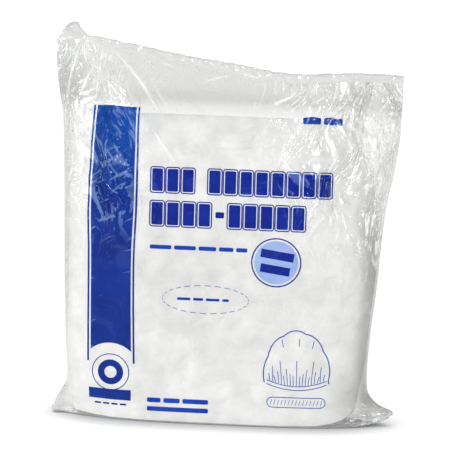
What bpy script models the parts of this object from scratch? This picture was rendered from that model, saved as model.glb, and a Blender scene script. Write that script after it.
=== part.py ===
"""A clear film bag packed with folded bouffant caps, standing on its bottom.

The bag is a lay-flat tube of film, sealed across its top and its bottom. Its front and back webs bulge round the
stack of caps, meet at a crease down each side, and draw flat to the top seal. The bottom of the bag is folded
flat under the stack, and its two corners lie out on the floor as ears.

Metres. X runs to the right, the front faces -Y, Z is up. The origin is on the floor under the middle of the bag.
"""

import math

import bmesh
import bpy
from mathutils import Vector

# Driving sizes of the bag
FLAT_WIDTH = 0.280  # of the film tube laid flat, crease to crease
PACK_DEPTH = 0.062  # of the bulging bag, front to back
PACK_HEIGHT = 0.255  # of the stack of caps
HEADSPACE = 0.026  # from the top of the stack up to the top seal where the seal is lowest
SEAL_DROP = 0.031  # from the highest place of the seal down to the lowest
FLANGE = 0.007  # film left standing above the seal
SEAL_SWAY = 0.006  # how far the top seal waves to the front and the back
FILM_WALL = 0.001
LEFT_EAR_LIFT = 0.001  # of the tip of the left ear above the floor
RIGHT_EAR_LIFT = 0.008
EAR_ROOT = 0.104  # from the middle to where the flat bottom ends and an ear begins
FOLD_HEIGHT = 0.006  # of the film's main folds
FOLD_WIDTH = 0.010  # from a fold's ridge to where it has mostly died away

# The stack of caps
BUNDLES = 8
THINNEST_BUNDLE = 0.0015  # at the rim of a bundle
PACK_CLEARANCE = 0.0015  # between the film and the caps
RIGHT_SLACK = 0.005  # film left loose past the caps at the right
GAP = 0.0003  # between pieces that touch

# How finely the film and the caps are divided
FILM_COLUMNS = 34
STEPS_PER_SECTION = 2
BUNDLE_COLUMNS = 10
BUNDLE_ROWS = 8
EDGE_CROWDING_SHARE = 0.65  # 0 spaces the film's columns evenly, 1 crowds them most towards the creases
ROUND_CREASE_SHARE = 0.6  # of the wall, that a crease loses where the side is round and the wall stands edgewise
SHARP_ANGLE_DEG = 40  # edges that turn more than this are shaded sharp

# Sections of the film, from the bottom to the top seal. The level is a share of the stack's height up to 1, and
# above it 1 more than a share of the way to the seal. left and right are shares of half the flat width, depth is
# a share of half the pack depth. roundness is 2 where the side is round and 1 where it runs out to a sharp crease,
# and squareness is higher where the front is flatter.
SECTION_COLUMNS = ("level", "left", "right", "depth", "roundness", "squareness")
SECTIONS = (
    (0.000, 1.000, 1.000, 0.74, 1.00, 3.4),
    (0.030, 0.979, 1.000, 0.85, 1.05, 3.8),
    (0.070, 0.940, 0.930, 0.93, 1.30, 4.6),
    (0.110, 0.910, 0.848, 0.98, 1.70, 5.4),
    (0.250, 0.922, 0.850, 1.00, 2.00, 6.0),
    (0.450, 0.935, 0.886, 1.00, 2.00, 6.0),
    (0.640, 0.942, 0.911, 1.00, 1.90, 5.6),
    (0.740, 0.946, 0.936, 0.99, 1.76, 5.3),
    (0.840, 0.951, 0.972, 0.96, 1.60, 5.0),
    (0.930, 0.957, 0.992, 0.91, 1.50, 4.7),
    (1.000, 0.968, 0.998, 0.84, 1.40, 4.4),
    (1.350, 0.990, 1.000, 0.56, 1.25, 3.6),
    (1.700, 1.000, 1.000, 0.28, 1.10, 3.0),
    (2.000, 1.000, 1.000, 0.04, 1.00, 3.0),
)

# The top seal from the left corner to the right one. across is a share of half the flat width, drop a share of
# SEAL_DROP, flange a share of FLANGE, where the left corner stands up as an ear, and sway a share of SEAL_SWAY.
TOP_COLUMNS = ("across", "drop", "flange", "sway")
TOP_EDGE = (
    (-1.000, 0.15, 0.90, -0.4),
    (-0.950, 0.09, 1.62, -0.6),
    (-0.913, 0.02, 1.85, -0.8),
    (-0.874, 0.00, 0.95, -0.8),
    (-0.840, 0.02, 0.42, -0.7),
    (-0.810, 0.08, 0.62, -0.6),
    (-0.530, 0.44, 1.00, 0.4),
    (-0.230, 0.70, 1.00, 1.0),
    (0.064, 0.86, 1.00, 0.5),
    (0.286, 0.99, 1.00, -0.3),
    (0.436, 1.00, 1.00, -0.7),
    (0.657, 0.95, 1.00, -0.4),
    (0.800, 0.95, 1.00, 0.3),
    (1.000, 1.00, 1.00, 1.0),
)

EAR_REACH_SHARE = 0.11  # of the stack's height, up to where the lift of an ear dies away
FOLD_ONSET_SHARE = 0.25  # of half the pack depth, over which a fold comes in from a crease

# The main folds of the film, each a ridge from its head to its foot. The columns are head_x, head_z, foot_x,
# foot_z, height and width: x values are shares of half the flat width, z values of SEAL_HEIGHT, height is a share
# of FOLD_HEIGHT and width a share of FOLD_WIDTH.
FRONT_FOLDS = (
    (-0.81, 0.97, -0.97, 0.74, 1.0, 0.9),
    (-0.81, 0.97, -0.86, 0.68, 1.2, 1.0),
    (-0.80, 0.97, -0.70, 0.74, 0.9, 0.9),
    (-0.78, 0.96, -0.26, 0.68, 1.1, 1.1),
    (0.94, 0.90, 0.69, 0.53, 1.0, 1.1),
    (0.76, 0.88, 0.56, 0.70, 0.8, 1.0),
    (0.93, 0.68, 0.86, 0.40, 0.8, 0.9),
)
BACK_FOLDS = (
    (0.80, 0.88, 0.93, 0.66, 1.0, 1.0),
    (0.78, 0.88, 0.60, 0.62, 1.1, 1.1),
    (-0.82, 0.96, -0.62, 0.70, 1.0, 1.1),
    (-0.86, 0.94, -0.88, 0.60, 0.9, 0.9),
)

# How the stack is rounded: the shares of its width and depth that it loses towards its outline, and how sharply.
# At its top right corner the caps have slumped away under the seal.
CORNER_PULL_SHARE = 0.16
EDGE_THINNING_SHARE = 0.22
CORNER_SHARPNESS = 6
SLUMP_PULL_SHARE = 0.33
SLUMP_SHARPNESS = 2.6
THINNEST_SHARE = 0.95  # the caps reach no further to a side than where the film's depth has fallen this much

SEAL_HEIGHT = PACK_HEIGHT + HEADSPACE + SEAL_DROP  # of the top seal where it is highest
HALF_WIDTH = FLAT_WIDTH / 2
HALF_DEPTH = PACK_DEPTH / 2
FLOOR_PLY = FILM_WALL  # the bottom, folded flat
STACK_HALF_WIDTH = (FLAT_WIDTH - (math.pi / 2 - 1) * PACK_DEPTH) / 2  # of a tube whose sides are half circles
THINNEST_HALF_STACK = BUNDLES * (THINNEST_BUNDLE + GAP) / 2


def clear_scene():
    for old in list(bpy.data.objects):
        bpy.data.objects.remove(old, do_unlink=True)


def make_material(name, color, roughness, alpha=1.0):
    material = bpy.data.materials.new(name)
    material.use_nodes = True
    shader = material.node_tree.nodes["Principled BSDF"]
    shader.inputs["Base Color"].default_value = (*color, 1.0)
    shader.inputs["Roughness"].default_value = roughness
    shader.inputs["Metallic"].default_value = 0.0
    shader.inputs["Alpha"].default_value = alpha
    return material


def table_value(table, names, column, key):
    """A column of a table, read at a value of its first column with straight lines between the rows."""
    place = names.index(column)
    if key <= table[0][0]:
        return table[0][place]
    for low, high in zip(table, table[1:]):
        if key <= high[0]:
            share = (key - low[0]) / (high[0] - low[0])
            return low[place] + (high[place] - low[place]) * share
    return table[-1][place]


def smooth_value(table, names, column, key):
    """The same, on a smooth curve through the rows."""
    place = names.index(column)
    if key <= table[0][0]:
        return table[0][place]
    for index in range(len(table) - 1):
        low, high = table[index], table[index + 1]
        if key > high[0]:
            continue
        before = table[max(index - 1, 0)]
        after = table[min(index + 2, len(table) - 1)]
        span = high[0] - low[0]
        share = (key - low[0]) / span
        slope_low = (high[place] - before[place]) / (high[0] - before[0]) * span
        slope_high = (after[place] - low[place]) / (after[0] - low[0]) * span
        square, cube = share**2, share**3
        return (
            (2 * cube - 3 * square + 1) * low[place]
            + (cube - 2 * square + share) * slope_low
            + (3 * square - 2 * cube) * high[place]
            + (cube - square) * slope_high
        )
    return table[-1][place]


def eased(share):
    share = min(max(share, 0.0), 1.0)
    return share * share * (3 - 2 * share)


def column_shares():
    """Places across the film from -1 to 1, closer together towards the creases."""
    shares = []
    for index in range(FILM_COLUMNS + 1):
        even = 2 * index / FILM_COLUMNS - 1
        crowded = math.sin(math.pi / 2 * even)
        shares.append(even + (crowded - even) * EDGE_CROWDING_SHARE)
    return shares


def section_levels():
    levels = [SECTIONS[0][0]]
    for low, high in zip(SECTIONS, SECTIONS[1:]):
        for step in range(1, STEPS_PER_SECTION + 1):
            levels.append(low[0] + (high[0] - low[0]) * step / STEPS_PER_SECTION)
    return levels


def seal_height(x):
    return SEAL_HEIGHT - SEAL_DROP * table_value(TOP_EDGE, TOP_COLUMNS, "drop", x / HALF_WIDTH)


def ear_lift(x):
    """Height of the bag's bottom over the floor: 0 but for the ears, whose tips rise."""
    lift = RIGHT_EAR_LIFT if x > 0 else LEFT_EAR_LIFT
    return lift * max(0.0, (abs(x) - EAR_ROOT) / (HALF_WIDTH - EAR_ROOT)) ** 2


def section(level):
    """The film's section at a level of the table, as lengths."""
    left = smooth_value(SECTIONS, SECTION_COLUMNS, "left", level) * HALF_WIDTH
    right = smooth_value(SECTIONS, SECTION_COLUMNS, "right", level) * HALF_WIDTH
    depth = smooth_value(SECTIONS, SECTION_COLUMNS, "depth", level) * HALF_DEPTH
    roundness = smooth_value(SECTIONS, SECTION_COLUMNS, "roundness", level)
    squareness = smooth_value(SECTIONS, SECTION_COLUMNS, "squareness", level)
    rim = GAP + FILM_WALL * (1 - ROUND_CREASE_SHARE * (roundness - 1))
    return left, right, max(depth, rim), rim, roundness, squareness


def film_depth(level, share):
    """Distance from the middle plane to the outside of the film, at a share of the way out to the crease."""
    _, _, depth, rim, roundness, squareness = section(level)
    fullness = max(0.0, 1 - abs(share) ** squareness) ** (1 / roundness)
    return rim + (depth - rim) * fullness


def film_place(level, share):
    """X and Z of the film at a level and a share of the way out to the crease."""
    left, right = section(level)[:2]
    x = share * (right if share > 0 else left)
    near_floor = max(0.0, 1 - level / EAR_REACH_SHARE)
    bottom = FLOOR_PLY + GAP
    if level <= 1:
        return x, bottom + ear_lift(x) * near_floor**2 + (PACK_HEIGHT - bottom) * level
    return x, PACK_HEIGHT + (seal_height(x) - PACK_HEIGHT) * (level - 1)


def seal_sway(x):
    return SEAL_SWAY * table_value(TOP_EDGE, TOP_COLUMNS, "sway", x / HALF_WIDTH)


def fold_relief(folds, x, z):
    """How far the film's folds stand out at a place on the web."""
    relief = 0.0
    for head_x, head_z, foot_x, foot_z, height, width in folds:
        head = Vector((head_x * HALF_WIDTH, head_z * SEAL_HEIGHT))
        foot = Vector((foot_x * HALF_WIDTH, foot_z * SEAL_HEIGHT))
        run = foot - head
        place = Vector((x, z)) - head
        along = place.dot(run) / run.length_squared
        if not 0 <= along <= 1:
            continue
        beside = (place - run * along).length / (width * FOLD_WIDTH)
        relief += height * FOLD_HEIGHT * math.exp(-beside * beside) * math.sin(math.pi * along)
    return relief


def make_film(name, side, folds, material):
    """A web of the bag. side is -1 for the front and 1 for the back."""
    shares = column_shares()
    shell = bmesh.new()
    rows = []
    for level in section_levels():
        lean = eased(level - 1)
        rim = section(level)[3]
        row = []
        for share in shares:
            x, z = film_place(level, share)
            depth = film_depth(level, share)
            onset = min(1.0, (depth - rim) / (HALF_DEPTH * FOLD_ONSET_SHARE))
            depth += fold_relief(folds, x, z) * onset
            row.append(shell.verts.new((x, side * depth + seal_sway(x) * lean, z)))
        rows.append(row)
    for low, high in zip(rows, rows[1:]):
        for index in range(len(shares) - 1):
            corners = (low[index], low[index + 1], high[index + 1], high[index])
            shell.faces.new(corners if side < 0 else corners[::-1])
    web = new_object(name, shell, material)
    wall = web.modifiers.new("wall", "SOLIDIFY")
    wall.thickness = FILM_WALL
    wall.offset = -1
    wall.use_even_offset = False
    return web


def closed_sheet(front, back):
    """A closed body between two grids of points of the same size, front seen from -Y.

    Both are split along the same diagonals, so that two bodies that lie on each other stay clear.
    """
    body = bmesh.new()
    grids = []
    for grid in (front, back):
        grids.append([[body.verts.new(point) for point in row] for row in grid])
    for grid, turned in zip(grids, (False, True)):
        for low, high in zip(grid, grid[1:]):
            for index in range(len(low) - 1):
                lower = (low[index], low[index + 1], high[index + 1])
                upper = (low[index], high[index + 1], high[index])
                for corners in (lower, upper):
                    body.faces.new(corners[::-1] if turned else corners)
    rims = [grid_rim(grid) for grid in grids]
    count = len(rims[0])
    for index in range(count):
        after = (index + 1) % count
        body.faces.new((rims[0][after], rims[0][index], rims[1][index], rims[1][after]))
    return body


def grid_rim(grid):
    """The points round a grid: along its first row, up its last column and back."""
    right = [row[-1] for row in grid[1:-1]]
    left = [row[0] for row in grid[1:-1]]
    return grid[0] + right + grid[-1][::-1] + left[::-1]


def new_object(name, body, material):
    mesh = bpy.data.meshes.new(name)
    body.to_mesh(mesh)
    body.free()
    mesh.materials.append(material)
    mesh.shade_smooth()
    mesh.set_sharp_from_angle(angle=math.radians(SHARP_ANGLE_DEG))
    made = bpy.data.objects.new(name, mesh)
    bpy.context.collection.objects.link(made)
    return made


def make_top_seal(material):
    """The two webs welded together above the seal line, with the left corner standing up."""
    front, back = [], []
    for rise in (0, 0.5, 1):
        front_row, back_row = [], []
        for share in column_shares():
            x = share * HALF_WIDTH
            flange = FLANGE * table_value(TOP_EDGE, TOP_COLUMNS, "flange", share)
            z = seal_height(x) + GAP + flange * rise
            front_row.append((x, seal_sway(x) - FILM_WALL, z))
            back_row.append((x, seal_sway(x) + FILM_WALL, z))
        front.append(front_row)
        back.append(back_row)
    return new_object("top_seal", closed_sheet(front, back), material)


def make_bottom_fold(material):
    """The bottom of the bag folded flat, with an ear at each end. Its middle is one flat face to stand on."""
    outline = []
    for share in column_shares():
        x = share * HALF_WIDTH
        outline.append((x, film_depth(0, share), ear_lift(x)))
    body = bmesh.new()
    levels = []
    for rise in (0, FLOOR_PLY):
        front = [body.verts.new((x, -depth, lift + rise)) for x, depth, lift in outline]
        back = [body.verts.new((x, depth, lift + rise)) for x, depth, lift in outline]
        levels.append((front, back))
    flat = [index for index, place in enumerate(outline) if abs(place[0]) <= EAR_ROOT]
    first, last = flat[0], flat[-1]
    for (front, back), upper in zip(levels, (False, True)):
        middle = front[first : last + 1] + back[first : last + 1][::-1]
        body.faces.new(middle if upper else middle[::-1])
        for index in list(range(first)) + list(range(last, len(outline) - 1)):
            corners = (front[index], front[index + 1], back[index + 1], back[index])
            body.faces.new(corners if upper else corners[::-1])
    loops = [front + back[::-1] for front, back in levels]
    count = len(loops[0])
    for index in range(count):
        after = (index + 1) % count
        body.faces.new((loops[0][index], loops[0][after], loops[1][after], loops[1][index]))
    return new_object("bottom_fold", body, material)


def stack_half_width(level, side):
    """How far the caps reach to a side at a level, inside the film."""
    left, right, depth, rim, roundness, squareness = section(level)
    crease = right if side > 0 else left
    least = THINNEST_HALF_STACK + FILM_WALL + PACK_CLEARANCE
    thin = min(THINNEST_SHARE, max(0.0, (least - rim) / (depth - rim)))
    slack = PACK_CLEARANCE + (RIGHT_SLACK if side > 0 else 0)
    inside = crease * (1 - thin**roundness) ** (1 / squareness) - slack
    return min(STACK_HALF_WIDTH, inside)


def corner_pull(across, up):
    """The share of its width that the stack keeps at a place."""
    if across > 0 and up > 0:
        return 1 - SLUMP_PULL_SHARE * up**SLUMP_SHARPNESS
    return 1 - CORNER_PULL_SHARE * abs(up) ** CORNER_SHARPNESS


def stack_place(across, up):
    """X, Z and half the stack's depth at a place from -1 to 1 each way."""
    low = FLOOR_PLY + 2 * GAP
    top = PACK_HEIGHT - PACK_CLEARANCE
    middle = (low + top) / 2
    droop = 1 - CORNER_PULL_SHARE * abs(across) ** CORNER_SHARPNESS / 2
    z = middle + (top - middle) * up * droop
    level = (z - FLOOR_PLY - GAP) / (PACK_HEIGHT - FLOOR_PLY - GAP)
    x = across * stack_half_width(level, across) * corner_pull(across, up)
    left, right = section(level)[:2]
    share = abs(x) / (right if x > 0 else left)
    thinning = 1 - EDGE_THINNING_SHARE * max(abs(across), abs(up)) ** CORNER_SHARPNESS
    inside = film_depth(level, share) - FILM_WALL - PACK_CLEARANCE
    return x, z, max(THINNEST_HALF_STACK, inside * thinning)


def make_bundle(number, material):
    """One bundle of folded caps, number 1 at the front."""
    front_share = 2 * (number - 1) / BUNDLES - 1
    back_share = 2 * number / BUNDLES - 1
    front, back = [], []
    for row in range(BUNDLE_ROWS + 1):
        up = math.sin(math.pi / 2 * (2 * row / BUNDLE_ROWS - 1))
        front_row, back_row = [], []
        for column in range(BUNDLE_COLUMNS + 1):
            across = math.sin(math.pi / 2 * (2 * column / BUNDLE_COLUMNS - 1))
            x, z, depth = stack_place(across, up)
            front_row.append((x, depth * front_share + GAP / 2, z))
            back_row.append((x, depth * back_share - GAP / 2, z))
        front.append(front_row)
        back.append(back_row)
    return new_object(f"cap_bundle_{number}", closed_sheet(front, back), material)


def build():
    clear_scene()
    film = make_material("clear_film", (0.86, 0.87, 0.87), 0.15, alpha=0.35)
    welded = make_material("welded_film", (0.84, 0.85, 0.85), 0.20, alpha=0.5)
    caps = make_material("white_nonwoven", (0.92, 0.92, 0.91), 0.90)
    make_film("front_film", -1, FRONT_FOLDS, film)
    make_film("back_film", 1, BACK_FOLDS, film)
    make_top_seal(welded)
    make_bottom_fold(welded)
    for number in range(1, BUNDLES + 1):
        make_bundle(number, caps)


build()
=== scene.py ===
"""The looks of a clear film bag of bouffant caps: film, nonwoven caps, print, light and camera."""

import math

import bpy
import numpy as np
from mathutils import Matrix, Vector


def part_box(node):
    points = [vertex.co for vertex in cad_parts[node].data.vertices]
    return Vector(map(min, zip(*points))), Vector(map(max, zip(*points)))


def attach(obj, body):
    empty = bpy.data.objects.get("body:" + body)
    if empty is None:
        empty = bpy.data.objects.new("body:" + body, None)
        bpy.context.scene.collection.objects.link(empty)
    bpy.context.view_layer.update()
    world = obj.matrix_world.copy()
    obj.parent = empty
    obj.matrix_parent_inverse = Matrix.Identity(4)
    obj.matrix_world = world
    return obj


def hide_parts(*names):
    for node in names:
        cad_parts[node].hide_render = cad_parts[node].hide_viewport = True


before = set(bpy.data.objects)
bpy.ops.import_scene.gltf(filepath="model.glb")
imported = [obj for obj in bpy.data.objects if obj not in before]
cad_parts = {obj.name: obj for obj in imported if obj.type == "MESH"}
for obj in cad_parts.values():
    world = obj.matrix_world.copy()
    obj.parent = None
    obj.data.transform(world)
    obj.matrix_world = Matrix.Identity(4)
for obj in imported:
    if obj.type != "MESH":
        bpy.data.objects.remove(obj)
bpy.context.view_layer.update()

# Sizes that model.glb doesn't give
SEAL_DROP = 0.031
FLANGE = 0.007
SEAL_SWAY = 0.006
FLOOR_PLY = 0.001
LEFT_EAR_LIFT = 0.001
RIGHT_EAR_LIFT = 0.008
EAR_ROOT = 0.104
EAR_REACH_SHARE = 0.11
FOLD_HEIGHT = 0.006
FOLD_WIDTH = 0.010
FOLD_ONSET_SHARE = 0.25
FOLD_DEPTH_SHARE = 0.74  # of the bottom's solid
PACK_CLEARANCE = 0.0015
GAP = 0.0003

# Sections of the film from the bottom up: level, left, right, depth, roundness and squareness. Level 1 is the
# stack's top and level 2 the seal. left and right are shares of half the flat width, depth of half the depth.
SECTIONS = (
    (0.0, 1.0, 1.0, 0.86, 1.0, 3.4),
    (0.03, 0.979, 0.99, 0.92, 1.05, 3.8),
    (0.07, 0.94, 0.895, 0.96, 1.3, 4.6),
    (0.11, 0.91, 0.848, 0.98, 1.7, 5.4),
    (0.25, 0.922, 0.85, 1.0, 2.0, 6.0),
    (0.45, 0.935, 0.886, 1.0, 2.0, 6.0),
    (0.64, 0.942, 0.911, 1.0, 1.9, 5.6),
    (0.74, 0.946, 0.936, 0.99, 1.76, 5.3),
    (0.84, 0.951, 0.972, 0.96, 1.6, 5.0),
    (0.93, 0.957, 0.992, 0.91, 1.5, 4.7),
    (1.0, 0.968, 0.998, 0.84, 1.4, 4.4),
    (1.35, 0.99, 1.0, 0.56, 1.25, 3.6),
    (1.7, 1.0, 1.0, 0.28, 1.1, 3.0),
    (2.0, 1.0, 1.0, 0.0, 1.0, 3.0),
)
LEFT, RIGHT, DEPTH, ROUNDNESS, SQUARENESS = range(1, 6)

# The top seal from the left corner to the right one: across, drop, flange and sway, each a share
TOP_EDGE = (
    (-1.0, 0.14, 0.05, -0.4),
    (-0.985, 0.13, 0.55, -0.5),
    (-0.962, 0.12, 1.25, -0.6),
    (-0.935, 0.1, 1.75, -0.7),
    (-0.905, 0.07, 1.95, -0.8),
    (-0.88, 0.05, 1.86, -0.8),
    (-0.862, 0.03, 1.2, -0.8),
    (-0.845, 0.02, 0.65, -0.7),
    (-0.828, 0.01, 0.27, -0.7),
    (-0.8, 0.03, 0.28, -0.6),
    (-0.76, 0.1, 0.42, -0.5),
    (-0.53, 0.44, 1.0, 0.4),
    (-0.23, 0.7, 1.0, 1.0),
    (0.064, 0.86, 1.0, 0.5),
    (0.286, 0.99, 1.0, -0.3),
    (0.436, 1.0, 1.0, -0.7),
    (0.657, 0.95, 1.0, -0.4),
    (0.8, 0.95, 1.0, 0.3),
    (1.0, 1.0, 1.0, 1.0),
)
DROP, RISE, SWAY = range(1, 4)

# The main folds: head_x, head_z, foot_x, foot_z, height and width, as shares
FRONT_FOLDS = (
    (-0.81, 0.97, -0.97, 0.74, 1.0, 0.9),
    (-0.81, 0.97, -0.86, 0.68, 1.2, 1.0),
    (-0.8, 0.97, -0.7, 0.74, 0.9, 0.9),
    (-0.78, 0.96, -0.26, 0.68, 1.1, 1.1),
    (0.94, 0.9, 0.69, 0.53, 1.0, 1.1),
    (0.76, 0.88, 0.56, 0.7, 0.8, 1.0),
    (0.93, 0.68, 0.86, 0.4, 0.8, 0.9),
    (-0.77, 0.98, -0.74, 0.86, 0.16, 0.2),
    (-0.77, 0.94, -0.62, 0.84, 0.18, 0.2),
    (-0.6, 0.95, -0.3, 0.8, 0.2, 0.18),
    (-0.33, 0.83, -0.18, 0.62, 0.16, 0.22),
    (-0.46, 0.83, -0.27, 0.68, 0.16, 0.2),
    (-0.79, 0.98, -0.94, 0.81, 0.18, 0.2),
    (-0.78, 0.96, -0.87, 0.82, 0.16, 0.18),
)
BACK_FOLDS = (
    (0.8, 0.88, 0.93, 0.66, 1.0, 1.0),
    (0.78, 0.88, 0.6, 0.62, 1.1, 1.1),
    (-0.82, 0.96, -0.62, 0.7, 1.0, 1.1),
    (-0.86, 0.94, -0.88, 0.6, 0.9, 0.9),
)

# Sharp folds of the front whose glints are painted as white lines: painted highlight, with whiteness in place
# of height
HIGHLIGHT_FOLDS = (
    (-0.731, 0.985, -0.755, 0.834, 0.7, 0.09),
    (-0.759, 0.95, -0.87, 0.83, 0.6, 0.09),
    (-0.7, 0.93, -0.66, 0.825, 0.5, 0.09),
    (-0.7, 0.98, -0.42, 0.85, 0.6, 0.09),
    (-0.58, 0.93, -0.33, 0.79, 0.45, 0.09),
    (-0.47, 0.905, -0.31, 0.815, 0.35, 0.09),
    (-0.43, 0.79, -0.25, 0.675, 0.4, 0.09),
    (-0.9, 0.96, -0.93, 0.82, 0.5, 0.09),
    (0.76, 0.883, 0.55, 0.807, 0.65, 0.1),
    (0.812, 0.901, 0.708, 0.848, 0.7, 0.1),
    (0.682, 0.801, 0.741, 0.719, 0.55, 0.09),
    (0.865, 0.795, 0.826, 0.678, 0.7, 0.1),
    (0.944, 0.754, 0.878, 0.619, 0.7, 0.1),
    (0.655, 0.754, 0.629, 0.683, 0.45, 0.09),
    (0.458, 0.848, 0.59, 0.877, 0.45, 0.09),
    (0.944, 0.877, 0.865, 0.83, 0.6, 0.09),
    (-0.408, 0.937, -0.293, 0.919, 0.35, 0.09),
    (-0.171, 0.89, 0.014, 0.911, 0.4, 0.09),
    (0.037, 0.919, 0.187, 0.903, 0.35, 0.09),
    (-0.061, 0.934, 0.211, 0.9, 0.2, 0.2),
    (0.234, 0.842, 0.419, 0.877, 0.4, 0.09),
    (0.344, 0.883, 0.604, 0.898, 0.35, 0.09),
)

fold_low, fold_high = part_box("bottom_fold")
HALF_WIDTH = (fold_high.x - fold_low.x) / 2
HALF_DEPTH = (fold_high.y - fold_low.y) / 2 / FOLD_DEPTH_SHARE
PACK_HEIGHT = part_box("cap_bundle_4")[1].z + PACK_CLEARANCE
SEAL_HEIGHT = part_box("top_seal")[0].z - GAP + SEAL_DROP
STACK_HALF_WIDTH = HALF_WIDTH - (math.pi / 2 - 1) * HALF_DEPTH
FLOOR_LIFT = 0.0006  # of the film's bottom over the floor

# How finely the film and the caps are divided
FILM_COLUMNS = 330
FILM_ROWS = 300
EDGE_CROWDING_SHARE = 0.50
MEASURED_LEVELS = 2000  # along which the film's length is measured
FINE_ABOVE = 0.18  # the height over which the rows are twice as close

# The field over which the crinkles are worked out, seen from the front
FIELD_PITCH = 0.0007
STRIDE = 0.00105  # of a walk along the crinkles
COMB_REACH = 0.045
FIELD_X = np.arange(-0.152, 0.152, FIELD_PITCH)
FIELD_Z = np.arange(-0.012, 0.340, FIELD_PITCH)

# Where the crinkles run to: x and z as shares, reach in metres and weight
PULLS = (
    (-0.82, 0.99, 0.095, 1.6),
    (0.88, 0.95, 0.085, 1.5),
    (0.7, 0.04, 0.045, 1.0),
    (-0.8, 0.03, 0.04, 1.0),
)

# How crinkled the film is: x and z of a place as shares, then in mm its two reaches and what it adds to the
# height of the long streaks, the fine streaks and the crumples
CRUMPLES_FRONT = (
    (0.0, 0.95, 400, 12, 0.06, 0.02, 0.05),
    (-0.88, 0.86, 34, 50, 0.6, 0.11, 0.05),
    (-0.66, 0.68, 22, 42, 0.5, 0.16, 0.24),
    (-0.66, 0.6, 18, 18, 0.3, 0.18, 0.28),
    (0.74, 0.86, 46, 30, 0.9, 0.34, 0.6),
    (0.88, 0.66, 28, 50, 1.3, 0.34, 0.3),
    (0.58, 0.68, 32, 38, 0.9, 0.14, 0.08),
    (0.97, 0.3, 12, 60, 0.35, 0.06, 0.06),
    (-0.97, 0.4, 10, 90, 0.1, 0.02, 0.02),
    (0.9, 0.03, 26, 16, 0.3, 0.01, 0.01),
    (-0.92, 0.03, 26, 14, 0.14, 0.01, 0.01),
)
CRUMPLES_BACK = (
    (0.0, 0.93, 400, 18, 0.08, 0.02, 0.05),
    (-0.8, 0.8, 40, 50, 0.45, 0.12, 0.14),
    (0.8, 0.8, 40, 40, 0.6, 0.18, 0.3),
    (0.2, 0.5, 60, 60, 0.15, 0.05, 0.05),
    (0.96, 0.3, 14, 60, 0.35, 0.08, 0.1),
    (-0.96, 0.3, 14, 60, 0.35, 0.08, 0.1),
    (0.9, 0.03, 26, 16, 0.3, 0.02, 0.02),
    (-0.92, 0.03, 26, 14, 0.3, 0.02, 0.02),
)
CALM_CRUMPLE = (0.06, 0.004, 0.008)  # where the film lies smooth on the caps, in mm
CRINKLE_SIZES = (0.008, 0.009, 0.003, 0.005, 0.009, 0.0045)  # of the noises: long, fine, crumples, two each
LONG_STREAKS = (0.020, 0.5, 1.2, 0.24)  # reach, how soft, how sharp and how wide the sharp ones are
FINE_STREAKS = (0.007, 0.5, 1.6, 0.40)
WIDE_CRUMPLE, CLOSE_CRUMPLE = 1.1, 0.7  # weights of the crumples' two noises
USUAL_SIZE = 0.8  # of a noise with a spread of 1, without its sign
FULL_CRINKLE = 0.00035  # height of the fine streaks where the film is as crinkled as can be
UPRIGHT_WEIGHT = 0.30  # of the way straight up beside the pulls
WANDER, WANDER_SIZE = 0.30, 0.045  # of the crinkles' way: radians and metres
NOISE_BAND = 0.45  # how far a noise's frequencies stray from its own, as a share
CREASE_RISE = 0.05  # share of the width over which the crinkles come in from the sides
SEAL_RISE, FLOOR_RISE = 0.06, 0.02  # the same from the seal and from the floor, in levels


def curve(table, column, key):
    """A column of a table on a smooth curve through its rows, at any values of its first column."""
    rows = np.array(table)
    knots, values = rows[:, 0], rows[:, column]
    key = np.clip(key, knots[0], knots[-1])
    low = np.clip(np.searchsorted(knots, key, side="right") - 1, 0, len(knots) - 2)
    high = low + 1
    before, after = np.maximum(low - 1, 0), np.minimum(low + 2, len(knots) - 1)
    span = knots[high] - knots[low]
    share = (key - knots[low]) / span
    slope_low = (values[high] - values[before]) / (knots[high] - knots[before]) * span
    slope_high = (values[after] - values[low]) / (knots[after] - knots[low]) * span
    square, cube = share**2, share**3
    from_low = (2 * cube - 3 * square + 1) * values[low] + (cube - 2 * square + share) * slope_low
    return from_low + (3 * square - 2 * cube) * values[high] + (cube - square) * slope_high


def eased(share):
    share = np.clip(share, 0.0, 1.0)
    return share * share * (3 - 2 * share)


def bell(value):
    """1 at 0, falling off smoothly to both sides."""
    return np.exp(-(value**2))


def crowded(count):
    """Places across the film from -1 to 1, closer together towards the creases."""
    even = np.linspace(-1, 1, count)
    return even + (np.sin(math.pi / 2 * even) - even) * EDGE_CROWDING_SHARE


def seal_height(x):
    return SEAL_HEIGHT - SEAL_DROP * curve(TOP_EDGE, DROP, x / HALF_WIDTH)


def seal_sway(x):
    return SEAL_SWAY * curve(TOP_EDGE, SWAY, x / HALF_WIDTH)


def ear_lift(x):
    lift = np.where(x > 0, RIGHT_EAR_LIFT, LEFT_EAR_LIFT)
    return lift * np.clip((np.abs(x) - EAR_ROOT) / (HALF_WIDTH - EAR_ROOT), 0, None) ** 2


def fold_relief(folds, x, z):
    """How far the main folds stand out at places on a web."""
    relief = np.zeros_like(x)
    for head_x, head_z, foot_x, foot_z, height, width in folds:
        head = (head_x * HALF_WIDTH, head_z * SEAL_HEIGHT)
        run = (foot_x * HALF_WIDTH - head[0], foot_z * SEAL_HEIGHT - head[1])
        length = math.hypot(*run)
        along = ((x - head[0]) * run[0] + (z - head[1]) * run[1]) / length**2
        beside = ((x - head[0]) * run[1] - (z - head[1]) * run[0]) / length / (width * FOLD_WIDTH)
        swell = np.sin(math.pi * np.clip(along, 0, 1))
        relief += height * FOLD_HEIGHT * bell(beside) * swell
    return relief


def film_depth(level, share):
    """Distance of the film from the middle plane."""
    fullness = np.clip(1 - np.abs(share) ** curve(SECTIONS, SQUARENESS, level), 0, 1)
    return HALF_DEPTH * curve(SECTIONS, DEPTH, level) * fullness ** (1 / curve(SECTIONS, ROUNDNESS, level))


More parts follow.
